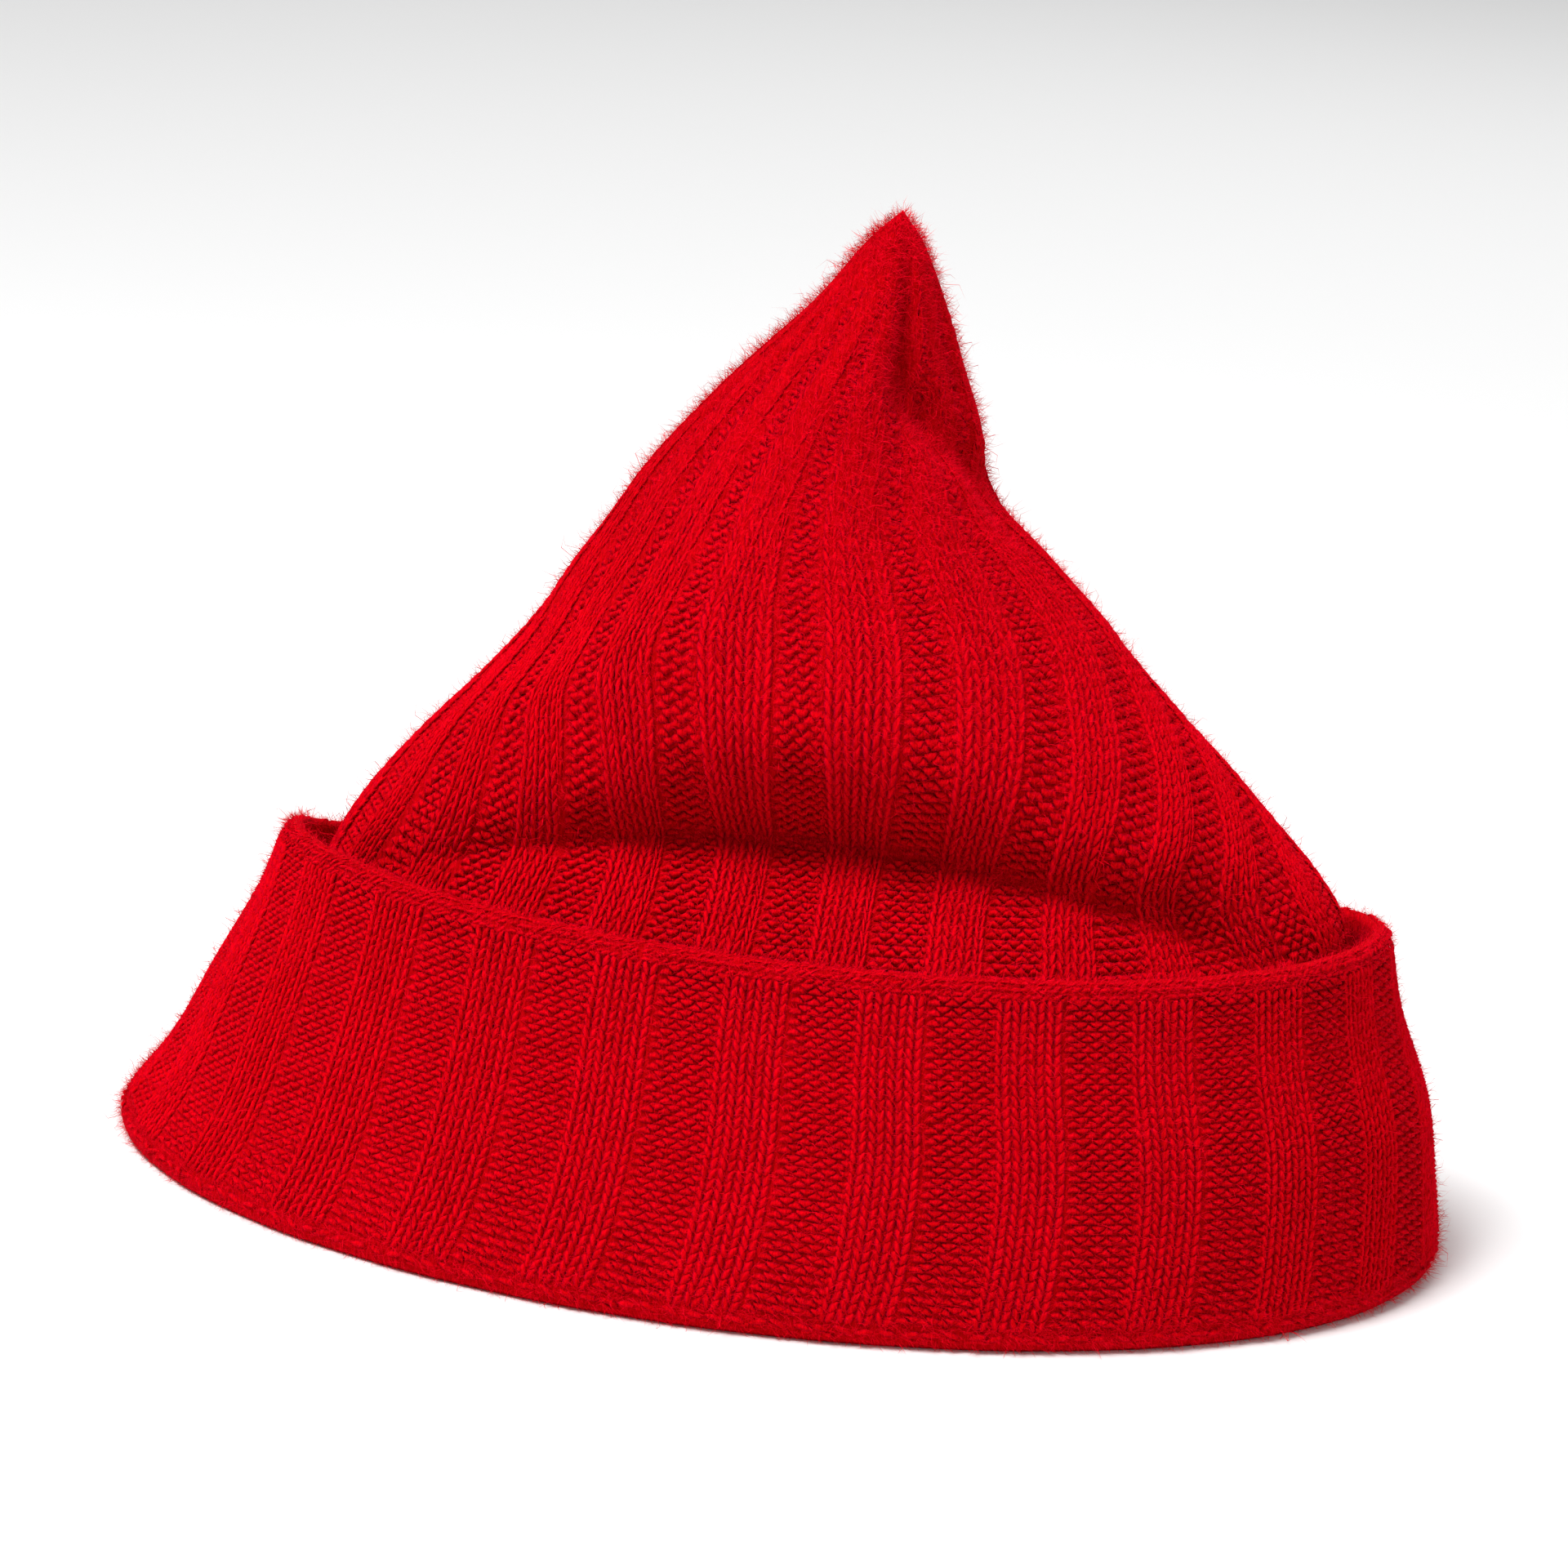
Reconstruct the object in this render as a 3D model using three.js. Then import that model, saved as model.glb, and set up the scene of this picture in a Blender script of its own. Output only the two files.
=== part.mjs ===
// A ribbed cashmere beanie that stands on its opening, with its cuff turned up round the rim.
// It is one tube of four-by-four rib knit, closed at the tip. The inner run of the tube, from the tip
// down to the turn, is the crown. The outer run, from the turn up to the free hem, is the cuff.
// Millimetres, +Z up. The origin is on the ground in the middle of the rim, and the front faces -Y.

import * as THREE from "three";
import { ParametricGeometry } from "three/addons/geometries/ParametricGeometry.js";

// Driving dimensions of the knit
const knitThickness = 2.6;
const ribRelief = 1.0;
const ribPairs = 24;
const cuffRibPhase = 0.1;
const crownRibPhase = 0.48;
const pieceGap = 0.3;

// Driving dimensions of the hat
const cuffHeight = 57;
const hemFoot = cuffHeight - 5;
const turnThickness = 2.5;
const crownFoot = turnThickness + pieceGap;
const tipHeight = 166.5;
const innerTipHeight = 157;
const crownRibFade = { from: 142, to: 160 };

// Where the cuff is turned up less than its full height, and the share of its height that is missing
const cuffDrops = [
  { name: "back", angle: 95, halfAngle: 62, drop: 0.24 },
  { name: "behind the left end", angle: 158, halfAngle: 32, drop: 0.1 },
];

// The cuff's ribs lean to the left towards the hem and close up towards the foot. In shares of a rib pair.
const ribLean = { top: -0.11, topSwing: 0.14, footSwing: -0.45 };

// As the crown narrows, its ribs draw apart at the front right, close up at the back and twist to the right
const ribSpread = { from: 58, to: 112, angle: -72, first: 0.75, second: 0.125, twist: 20 };

// One rib pair seen from above: where its four edges lie, and whether they are raised or sunk
const ribEdges = [
  { at: 0.03, raise: 1 },
  { at: 0.47, raise: 1 },
  { at: 0.53, raise: -1 },
  { at: 0.97, raise: -1 },
];
const ribMiddle = (ribEdges[0].at + ribEdges[1].at) / 2;

// Oval sections of the cuff's outer face, deeper in front of their middle than behind it
const cuffSections = [
  { z: 0, halfWidth: 113.2, frontDepth: 80.0, backDepth: 70.0, shiftX: -0.6, shiftY: 5.0 },
  { z: 13, halfWidth: 107.6, frontDepth: 77.4, backDepth: 65.0, shiftX: 3.0, shiftY: 5.8 },
  { z: 28, halfWidth: 102.8, frontDepth: 73.8, backDepth: 59.0, shiftX: 4.8, shiftY: 7.2 },
  { z: 43, halfWidth: 96.6, frontDepth: 70.4, backDepth: 52.0, shiftX: 4.8, shiftY: 8.8 },
  { z: cuffHeight, halfWidth: 93.0, frontDepth: 67.6, backDepth: 46.0, shiftX: 5.2, shiftY: 10.0 },
];

// Oval sections of the crown's outer face, without its folds
const crownSections = [
  { z: 0, halfWidth: 107.8, frontDepth: 74.8, backDepth: 64.8, shiftX: -0.4, shiftY: 5.0 },
  { z: 28, halfWidth: 94.0, frontDepth: 67.0, backDepth: 50.0, shiftX: 4.4, shiftY: 7.0 },
  { z: 45, halfWidth: 87.0, frontDepth: 63.0, backDepth: 41.0, shiftX: 5.6, shiftY: 8.2 },
  { z: 57, halfWidth: 82.6, frontDepth: 60.0, backDepth: 38.5, shiftX: 7.0, shiftY: 8.8 },
  { z: 70, halfWidth: 72.2, frontDepth: 55.0, backDepth: 37.5, shiftX: 6.0, shiftY: 8.0 },
  { z: 82, halfWidth: 61.0, frontDepth: 49.0, backDepth: 36.0, shiftX: 4.8, shiftY: 7.0 },
  { z: 92, halfWidth: 51.8, frontDepth: 43.5, backDepth: 33.0, shiftX: 3.4, shiftY: 6.5 },
  { z: 101, halfWidth: 45.0, frontDepth: 38.0, backDepth: 29.5, shiftX: 2.1, shiftY: 6.0 },
  { z: 109, halfWidth: 38.2, frontDepth: 32.5, backDepth: 26.0, shiftX: 0.7, shiftY: 6.0 },
  { z: 121, halfWidth: 29.6, frontDepth: 25.0, backDepth: 21.0, shiftX: -0.4, shiftY: 6.0 },
  { z: 136, halfWidth: 20.6, frontDepth: 17.0, backDepth: 15.0, shiftX: 2.5, shiftY: 6.0 },
  { z: 150, halfWidth: 11.3, frontDepth: 9.5, backDepth: 9.0, shiftX: 5.9, shiftY: 6.5 },
  { z: 161, halfWidth: 4.8, frontDepth: 4.2, backDepth: 4.2, shiftX: 7.2, shiftY: 6.5 },
  { z: tipHeight, halfWidth: 0, frontDepth: 0, backDepth: 0, shiftX: 7.8, shiftY: 6.5 },
];

// Folds of the slack crown: a depth pushes the wall in, a negative one lets it bulge out. Lean is how far the
// middle turns for each millimetre up, in degrees. Arch is how far the fold's line drops at its half angle.
// A sharpness of 2 is a smooth hollow, and a lower one is a crease.
const foldColumns = [
  "name", "angle", "z", "lean", "arch", "halfAngle", "below", "above", "sharpness", "depth",
];
const folds = [
  ["front dent", -87, 68, 0, 9, 46, 10.5, 13, 1.25, 22],
  ["bulge over the dent", -88, 92, 0, 0, 46, 12, 14, 2, -3.5],
  ["pocket at the right", -34, 60, 0, 0, 15, 9, 9, 2, 5],
  ["ridge at the left", -117, 100, 1.54, 0, 16, 20, 18, 2, -3],
  ["flat left of the ridge", -152, 105, 0.8, 0, 20, 28, 22, 2, 2.5],
  ["flap under the tip", -88, 143, 0, 0, 28, 15, 12, 2, -3.5],
  ["groove under the tip", -54, 147, -0.6, 0, 11, 12, 11, 2, 4],
  ["flat right of the groove", -18, 140, 0, 0, 30, 14, 14, 2, 4],
  ["groove round the side", -32, 134, -3, 0, 18, 11, 11, 2, 5],
  ["nick at the right", -2, 119, 0, 0, 26, 7, 9, 2, 3.5],
].map((row) => Object.fromEntries(row.map((value, column) => [foldColumns[column], value])));

// Heights of the crown's rings, closer together where the folds turn sharply
const foldHeights = [57, 60, 63, 66, 68, 70.5, 75, 80];
const crownOuterHeights = [
  crownFoot, 22, 42, 54, ...foldHeights,
  86, 92, 98, 105, 112, 119, 126, 133, 140, 147, 153.5, 159.5, 164.5,
];
const crownInnerHeights = [crownFoot, 24, 46, ...foldHeights, 90, 101, 113, 125, 137, 149];

// The cuff's wall as it goes round: how far each line lies in from the outer face, and its height.
// Ribs are at full relief where rib is 1 and are pressed flat where the cloth turns under.
const cuffLoop = [
  { inset: knitThickness, z: hemFoot, rib: 1 },
  { inset: knitThickness, z: 28, rib: 1 },
  { inset: knitThickness, z: 5.0, rib: 1 },
  { inset: 3.6, z: turnThickness, rib: 0.6 },
  { inset: 7.2, z: turnThickness, rib: 0.2 },
  { inset: 8.2, z: 1.3, rib: 0.2 },
  { inset: 6.6, z: 0, rib: 0.2 },
  { inset: 2.0, z: 0, rib: 0.2 },
  { inset: 0.5, z: 1.6, rib: 0.6 },
  { inset: 0, z: 4.5, rib: 1 },
  { inset: 0, z: 16, rib: 1 },
  { inset: 0, z: 30, rib: 1 },
  { inset: 0, z: 44, rib: 1 },
  { inset: 0.4, z: hemFoot, rib: 1 },
  { inset: -0.3, z: cuffHeight - 3.8, rib: 0.8 },
  { inset: -0.6, z: cuffHeight - 1.6, rib: 0.7 },
  { inset: 0.6, z: cuffHeight, rib: 0.6 },
  { inset: 2.4, z: cuffHeight - 0.3, rib: 0.6 },
  { inset: 3.2, z: cuffHeight - 2.2, rib: 0.8 },
];

const radians = THREE.MathUtils.degToRad;
const smoothstep = THREE.MathUtils.smoothstep;

// A section between two rows of a table, by a smooth curve through the rows
function sectionAt(rows, z) {
  let row = 0;
  while (row < rows.length - 2 && z > rows[row + 1].z) row += 1;
  const lower = rows[row];
  const upper = rows[row + 1];
  const before = rows[Math.max(row - 1, 0)];
  const after = rows[Math.min(row + 2, rows.length - 1)];
  const span = upper.z - lower.z;
  const s = (z - lower.z) / span;
  const blend = (column) => {
    const startSlope = ((upper[column] - before[column]) / (upper.z - before.z)) * span;
    const endSlope = ((after[column] - lower[column]) / (after.z - lower.z)) * span;
    return (
      lower[column] * (2 * s ** 3 - 3 * s ** 2 + 1) +
      startSlope * (s ** 3 - 2 * s ** 2 + s) +
      upper[column] * (3 * s ** 2 - 2 * s ** 3) +
      endSlope * (s ** 3 - s ** 2)
    );
  };
  return {
    halfWidth: Math.max(blend("halfWidth"), 0),
    frontDepth: Math.max(blend("frontDepth"), 0),
    backDepth: Math.max(blend("backDepth"), 0),
    shiftX: blend("shiftX"),
    shiftY: blend("shiftY"),
  };
}

// The angle of a rib that has gone a given share of the way round, evenly spaced along an oval
function ovalAngle(section, share) {
  const turn = 2 * Math.PI * share;
  const tiny = 1e-6;
  const { halfWidth, frontDepth } = section;
  const flatness = (halfWidth - frontDepth) / (halfWidth + frontDepth + tiny);
  return turn + 0.5 * flatness * Math.sin(2 * turn);
}

// How far an angle is from a middle angle, in half angles
function aside(middle, halfAngle, angle) {
  const away = angle - radians(middle);
  return Math.atan2(Math.sin(away), Math.cos(away)) / radians(halfAngle);
}

// How far the folds push the crown's wall at an angle and a height
function foldPush(angle, z) {
  const push = new THREE.Vector3();
  for (const fold of folds) {
    const middle = fold.angle + fold.lean * (z - fold.z);
    const across = aside(middle, fold.halfAngle, angle) ** 2;
    const above = z - fold.z + fold.arch * across;
    const along = (Math.abs(above) / (above < 0 ? fold.below : fold.above)) ** fold.sharpness;
    const depth = fold.depth * Math.exp(-across - along);
    push.x -= depth * Math.cos(radians(middle));
    push.y -= depth * Math.sin(radians(middle));
  }
  return push;
}

// A point of an oval section, measured from its middle
function ovalPoint(section, angle) {
  const depth = Math.sin(angle) < 0 ? section.frontDepth : section.backDepth;
  return { x: section.halfWidth * Math.cos(angle), y: depth * Math.sin(angle) };
}

// The share of the way round of a rib of the cuff at a height, as the ribs lean
function leaningShare(share, z) {
  const turn = 2 * Math.PI * (share - 0.75);
  const top = ribLean.top + ribLean.topSwing * Math.sin(turn);
  const foot = ribLean.footSwing * (Math.sin(turn) - 0.5 * Math.sin(2 * turn));
  return share + THREE.MathUtils.lerp(foot, top, z / cuffHeight) / ribPairs;
}

// A point on the cuff's outer face, without its ribs
function cuffFace(share, z) {
  const section = sectionAt(cuffSections, z);
  const angle = ovalAngle(section, leaningShare(share, z));
  const { x, y } = ovalPoint(section, angle);
  let drop = 0;
  for (const row of cuffDrops) drop += row.drop * Math.exp(-(aside(row.angle, row.halfAngle, angle) ** 2));
  const height = z * (1 - drop * smoothstep(z, 0, cuffHeight));
  return new THREE.Vector3(section.shiftX + x, section.shiftY + y, height);
}

// A point on the crown's outer face, without its ribs
function crownFace(share, z) {
  const section = sectionAt(crownSections, z);
  const turn = 2 * Math.PI * share - radians(ribSpread.angle);
  const spread = ribSpread.first * Math.sin(turn) + ribSpread.second * Math.sin(2 * turn);
  const shift = (spread + radians(ribSpread.twist)) * smoothstep(z, ribSpread.from, ribSpread.to);
  const angle = ovalAngle(section, share) + shift;
  const { x, y } = ovalPoint(section, angle);
  return new THREE.Vector3(section.shiftX + x, section.shiftY + y, z).add(foldPush(angle, z));
}

// The way out of a face at a point, from its slope along the ring and up the wall
function outward(face, share, z) {
  const step = { share: 1e-3, z: 0.2 };
  const along = face(share + step.share, z).sub(face(share - step.share, z));
  const up = face(share, z + step.z).sub(face(share, z - step.z));
  return along.cross(up).normalize();
}

// The share of the way round of one column of a ribbed wall, and whether it is raised or sunk
function ribColumn(column, phase) {
  const pair = Math.floor(column / ribEdges.length);
  const edge = ribEdges[column % ribEdges.length];
  return { share: (pair + edge.at - ribMiddle + phase) / ribPairs, raise: edge.raise };
}

// A closed skin over rows of points, where pointAt gives the point of a column and a row
function ribbedSkin(pointAt, lastRow) {
  const columns = ribPairs * ribEdges.length;
  const place = (u, v, target) => {
    const column = Math.round(u * columns) % columns;
    target.copy(pointAt(column, Math.round(v * lastRow)));
  };
  return new ParametricGeometry(place, columns, lastRow);
}

// The crown: from the tip down the inner face, round the lower edge and up the outer face
function crownGeometry() {
  const innerDown = [...crownInnerHeights].reverse();
  const lastRow = innerDown.length + crownOuterHeights.length + 1;
  const wallPoint = (column, z, depth) => {
    const { share, raise } = ribColumn(column, crownRibPhase);
    const relief = 0.5 * ribRelief * raise * (1 - smoothstep(z, crownRibFade.from, crownRibFade.to));
    const way = outward(crownFace, share, z);
    if (z === crownFoot) way.setZ(0).normalize();
    return crownFace(share, z).addScaledVector(way, relief - depth);
  };
  const pointAt = (column, row) => {
    if (row === 0) return crownFace(0, tipHeight).setZ(innerTipHeight);
    if (row === lastRow) return crownFace(0, tipHeight);
    if (row <= innerDown.length) return wallPoint(column, innerDown[row - 1], knitThickness);
    return wallPoint(column, crownOuterHeights[row - innerDown.length - 1], 0);
  };
  return ribbedSkin(pointAt, lastRow);
}

// The cuff: one closed wall, down the inside, round the turn, up the outside and over the hem
function cuffGeometry() {
  const lastRow = cuffLoop.length;
  const pointAt = (column, row) => {
    const { share, raise } = ribColumn(column, cuffRibPhase);
    const line = cuffLoop[row % lastRow];
    const relief = 0.5 * ribRelief * raise * line.rib;
    const way = outward(cuffFace, share, line.z).setZ(0).normalize();
    return cuffFace(share, line.z).addScaledVector(way, relief - line.inset);
  };
  return ribbedSkin(pointAt, lastRow);
}

function knitMaterial() {
  return new THREE.MeshStandardMaterial({ color: 0xc80014, roughness: 0.92, metalness: 0 });
}

function piece(name, geometry) {
  const mesh = new THREE.Mesh(geometry, knitMaterial());
  mesh.name = name;
  return mesh;
}

const hat = new THREE.Group();
hat.add(piece("crown", crownGeometry()));
hat.add(piece("cuff", cuffGeometry()));

export default hat;
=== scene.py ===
# %% [markdown]
# A red cashmere beanie stands on its opening, with its cuff turned up and its slack crown drawn to a point.
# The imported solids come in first, as a fixed frame. They carry the size and the place of everything, so each
# piece that is made here is laid on the same forms, in metres, and needs no fitting afterwards.

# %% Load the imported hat
import math

import bpy
import numpy as np
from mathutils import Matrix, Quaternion, Vector


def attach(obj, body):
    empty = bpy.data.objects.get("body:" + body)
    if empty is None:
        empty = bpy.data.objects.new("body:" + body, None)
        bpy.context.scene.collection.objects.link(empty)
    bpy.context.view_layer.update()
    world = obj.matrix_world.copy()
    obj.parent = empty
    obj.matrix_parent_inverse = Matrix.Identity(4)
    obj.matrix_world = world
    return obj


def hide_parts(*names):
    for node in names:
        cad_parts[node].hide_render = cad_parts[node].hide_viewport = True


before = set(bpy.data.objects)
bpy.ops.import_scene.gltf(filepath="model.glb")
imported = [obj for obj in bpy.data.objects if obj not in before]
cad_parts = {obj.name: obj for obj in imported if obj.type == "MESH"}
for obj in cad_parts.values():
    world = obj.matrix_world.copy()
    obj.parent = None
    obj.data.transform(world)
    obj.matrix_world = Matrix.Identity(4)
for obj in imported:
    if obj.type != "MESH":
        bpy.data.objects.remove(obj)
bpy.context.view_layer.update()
MM = 0.001

# %% [markdown]
# The photograph looks a little down on the hat and a little from its right, through a long lens, and the
# picture is turned a few degrees. A camera could be aimed with a constraint, but plain angles are easier to
# read and stay the same on every run. The last turn, about the camera's own axis, is the picture's roll.

# %% Camera
view_turn, view_rise, view_roll = (math.radians(angle) for angle in (9.5, 15.4, 4.7))
view_target = Vector((-3.66, 4.49, 68.6)) * MM
view_distance = 1.105

camera = bpy.data.objects.new("camera", bpy.data.cameras.new("camera"))
bpy.context.scene.collection.objects.link(camera)
view_back = Vector((
    math.sin(view_turn) * math.cos(view_rise),
    -math.cos(view_turn) * math.cos(view_rise),
    math.sin(view_rise),
))
camera.location = view_target + view_back * view_distance
camera.rotation_mode = "QUATERNION"
camera.rotation_quaternion = (-view_back).to_track_quat("-Z", "Y") @ Quaternion((0, 0, 1), view_roll)
camera.data.sensor_width = 36
camera.data.lens = 152.7
bpy.context.scene.camera = camera
print("camera at", [round(x, 3) for x in camera.location])

# %% [markdown]
# Nodes are wired by hand in Blender's editor, but in a script a formula reads better as a formula. A Wire
# holds one output socket, and Python's operators on it add Math nodes. Tree.node() adds any other node: it
# takes the node's type, its settings and the values or wires of its sockets. Both serve shaders and geometry.

# %% Wires and trees
class Wire:
    """One output socket of a tree. Operators on it add Math nodes."""

    def __init__(self, tree, socket):
        self.tree = tree
        self.socket = socket

    def __getitem__(self, name):
        return Wire(self.tree, self.socket.node.outputs[name])

    def __add__(self, other):
        return self.tree.math("ADD", self, other)

    def __sub__(self, other):
        return self.tree.math("SUBTRACT", self, other)

    def __rsub__(self, other):
        return self.tree.math("SUBTRACT", other, self)

    def __mul__(self, other):
        return self.tree.math("MULTIPLY", self, other)

    __radd__ = __add__
    __rmul__ = __mul__


class Tree:
    """A node tree, for a shader or for geometry."""

    def __init__(self, nodes):
        self.nodes = nodes

    def node(self, kind, settings=None, sockets=None):
        made = self.nodes.nodes.new(kind)
        for name, value in (settings or {}).items():
            setattr(made, name, value)
        for key, value in (sockets or {}).items():
            named = [s for s in made.inputs if s.name == key and s.enabled]
            socket = named[0] if named else made.inputs[key]
            if isinstance(value, Wire):
                self.nodes.links.new(value.socket, socket)
            else:
                socket.default_value = value
        shown = [s for s in made.outputs if s.enabled]
        return Wire(self, shown[0]) if shown else made

    def math(self, operation, first, second=0.0):
        return self.node("ShaderNodeMath", {"operation": operation}, {0: first, 1: second})

    def between(self, low, high, share):
        """A colour on the way from low to high."""
        settings = {"data_type": "RGBA", "clamp_factor": True}
        return self.node("ShaderNodeMix", settings, {"A": low, "B": high, "Factor": share})


print("wires carry + - *")

# %% [markdown]
# The real picture was taken in soft studio light from the upper left, on white. Here that is one broad area
# light on that side, a weak one on the other side so that the far flank keeps its colour, and a pale sky.
# The floor is a wide pale sheet with a faint mottle, so that it is plain but not a dead flat colour.

# %% Floor and light
def new_material(name):
    material = bpy.data.materials.new(name)
    material.use_nodes = True
    material.node_tree.nodes.clear()
    return material, Tree(material.node_tree)


def add_object(name, mesh):
    made = bpy.data.objects.new(name, mesh)
    bpy.context.scene.collection.objects.link(made)
    return made


floor_paint, tree = new_material("pale_floor")
mottle = tree.node("ShaderNodeTexNoise", sockets={"Scale": 3.0, "Detail": 2.0})
tone = tree.between((0.88, 0.88, 0.88, 1), (0.91, 0.91, 0.91, 1), mottle)
shader = tree.node("ShaderNodeBsdfPrincipled", sockets={"Base Color": tone, "Roughness": 0.7})
tree.node("ShaderNodeOutputMaterial", sockets={"Surface": shader})

floor_half = 8.0
floor_mesh = bpy.data.meshes.new("floor")
corners = [(x * floor_half, y * floor_half, 0.0) for x, y in ((-1, -1), (1, -1), (1, 1), (-1, 1))]
floor_mesh.from_pydata(corners, [], [(0, 1, 2, 3)])
floor_mesh.materials.append(floor_paint)
floor = add_object("floor", floor_mesh)

lamps = [  # name, place in metres, side in metres, watts
    ("key", (-0.43, -0.48, 1.35), 0.60, 25.0),
    ("far_side", (1.10, -0.60, 0.70), 0.80, 1.4),
    ("behind", (0.20, 1.20, 0.90), 0.80, 4.0),
]
for name, place, side, watts in lamps:
    lamp = bpy.data.objects.new(name, bpy.data.lights.new(name, "AREA"))
    bpy.context.scene.collection.objects.link(lamp)
    lamp.location = place
    lamp.rotation_euler = (view_target - lamp.location).to_track_quat("-Z", "Y").to_euler()
    lamp.data.size = side
    lamp.data.energy = watts

sky = bpy.data.worlds.new("pale_sky")
sky.use_nodes = True
sky.node_tree.nodes["Background"].inputs["Color"].default_value = (1.0, 1.0, 1.0, 1.0)
sky.node_tree.nodes["Background"].inputs["Strength"].default_value = 0.40
bpy.context.scene.world = sky
bpy.context.scene.view_settings.view_transform = "Standard"
print("lamps:", [name for name, *rest in lamps])

# %% [markdown]
# The hat is one tube of knit. Its form is given by ovals at a few heights, and the slack crown's folds are
# dents at an angle and a height. The solids were made from the same tables, so these are in millimetres too.
# A smooth curve through the rows gives the oval at any height, and NumPy does a whole ring at once.
# The ribs do not run straight up: on the cuff they lean, and up the crown they spread and twist.

# %% Tables of the form
def table(columns, *rows):
    """One array for each named column."""
    return dict(zip(columns.split(), np.array(rows, float).T))


rib_pairs = 24
cuff_phase, crown_phase = 0.1, 0.48
cuff_height, tip_height, inner_tip_height = 57.0, 166.5, 157.0
turn_height, crown_foot = 2.5, 2.8
knit_thickness = 2.6

cuff_rows = table(
    "z half_width front_depth back_depth shift_x shift_y",
    (0, 113.2, 80.0, 70.0, -0.6, 5.0),
    (13, 107.6, 77.4, 65.0, 3.0, 5.8),
    (28, 102.8, 73.8, 59.0, 4.8, 7.2),
    (43, 96.6, 70.4, 52.0, 4.8, 8.8),
    (cuff_height, 93.0, 67.6, 46.0, 5.2, 10.0),
)
crown_rows = table(
    "z half_width front_depth back_depth shift_x shift_y",
    (0, 107.8, 74.8, 64.8, -0.4, 5.0),
    (28, 94.0, 67.0, 50.0, 4.4, 7.0),
    (45, 87.0, 63.0, 41.0, 5.6, 8.2),
    (57, 82.6, 60.0, 38.5, 7.0, 8.8),
    (70, 72.2, 55.0, 37.5, 6.0, 8.0),
    (82, 61.0, 49.0, 36.0, 4.8, 7.0),
    (92, 51.8, 43.5, 33.0, 3.4, 6.5),
    (101, 45.0, 38.0, 29.5, 2.1, 6.0),
    (109, 38.2, 32.5, 26.0, 0.7, 6.0),
    (121, 29.6, 25.0, 21.0, -0.4, 6.0),
    (136, 20.6, 17.0, 15.0, 2.5, 6.0),
    (150, 11.3, 9.5, 9.0, 5.9, 6.5),
    (161, 4.8, 4.2, 4.2, 7.2, 6.5),
    (tip_height, 0, 0, 0, 7.8, 6.5),
)
cuff_drops = table(
    "angle half_angle drop",
    (95, 62, 0.24),
    (158, 32, 0.1),
)
folds = table(  # front dent, bulge, pocket, ridge, left flat, flap, groove, right flat, side groove, nick
    "angle z lean arch half_angle below above sharpness depth",
    (-87, 68, 0, 9, 46, 10.5, 13, 1.25, 22),
    (-88, 92, 0, 0, 46, 12, 14, 2, -3.5),
    (-34, 60, 0, 0, 15, 9, 9, 2, 5),
    (-117, 100, 1.54, 0, 16, 20, 18, 2, -3),
    (-152, 105, 0.8, 0, 20, 28, 22, 2, 2.5),
    (-88, 143, 0, 0, 28, 15, 12, 2, -3.5),
    (-54, 147, -0.6, 0, 11, 12, 11, 2, 4),
    (-18, 140, 0, 0, 30, 14, 14, 2, 4),
    (-32, 134, -3, 0, 18, 11, 11, 2, 5),
    (-2, 119, 0, 0, 26, 7, 9, 2, 3.5),
)
rib_lean = {"top": -0.11, "top_swing": 0.14, "foot_swing": -0.45}
rib_spread = {"start": 58, "end": 112, "turn": -72, "first": 0.75, "second": 0.125, "twist": 20}
print("ovals of the cuff:", len(cuff_rows["z"]), "and of the crown:", len(crown_rows["z"]))
print("folds:", len(folds["z"]))

# %% Faces of the form
def smoothstep(value, start, end):
    share = np.clip((value - start) / (end - start), 0, 1)
    return share * share * (3 - 2 * share)


def section_at(rows, z):
    """The oval at height z, on a smooth curve through the rows."""
    heights = rows["z"]
    low = np.clip(np.searchsorted(heights, z) - 1, 0, len(heights) - 2)
    high = low + 1
    before = np.maximum(low - 1, 0)
    after = np.minimum(low + 2, len(heights) - 1)
    span = heights[high] - heights[low]
    s = (z - heights[low]) / span
    section = {}
    for name in ("half_width", "front_depth", "back_depth", "shift_x", "shift_y"):
        values = rows[name]
        start = (values[high] - values[before]) / (heights[high] - heights[before]) * span
        end = (values[after] - values[low]) / (heights[after] - heights[low]) * span
        section[name] = (
            values[low] * (2 * s**3 - 3 * s**2 + 1)
            + start * (s**3 - 2 * s**2 + s)
            + values[high] * (3 * s**2 - 2 * s**3)
            + end * (s**3 - s**2)
        )
    return section


def oval_angle(section, share):
    """The angle of a rib that has gone a share of the way round, evenly spaced along the oval."""
    turn = 2 * np.pi * share
    wide, deep = np.maximum(section["half_width"], 0), np.maximum(section["front_depth"], 0)
    return turn + 0.5 * (wide - deep) / (wide + deep + 1e-6) * np.sin(2 * turn)


def aside(middle, half_angle, angle):
    """How far an angle is from the middle of a fold, in half angles of it."""
    away = angle - np.radians(middle)
    return np.arctan2(np.sin(away), np.cos(away)) / np.radians(half_angle)


def oval_point(section, angle):
    depth = np.where(np.sin(angle) < 0, section["front_depth"], section["back_depth"])
    x = np.maximum(section["half_width"], 0) * np.cos(angle)
    return x, np.maximum(depth, 0) * np.sin(angle)


def leaning_share(share, z):
    """The share of the way round of a cuff rib at a height: ribs lean at the left and close up below."""
    front = 0.75
    turn = 2 * np.pi * (share - front)
    top = rib_lean["top"] + rib_lean["top_swing"] * np.sin(turn)
    foot = rib_lean["foot_swing"] * (np.sin(turn) - 0.5 * np.sin(2 * turn))
    return share + (foot + (top - foot) * z / cuff_height) / rib_pairs


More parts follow.
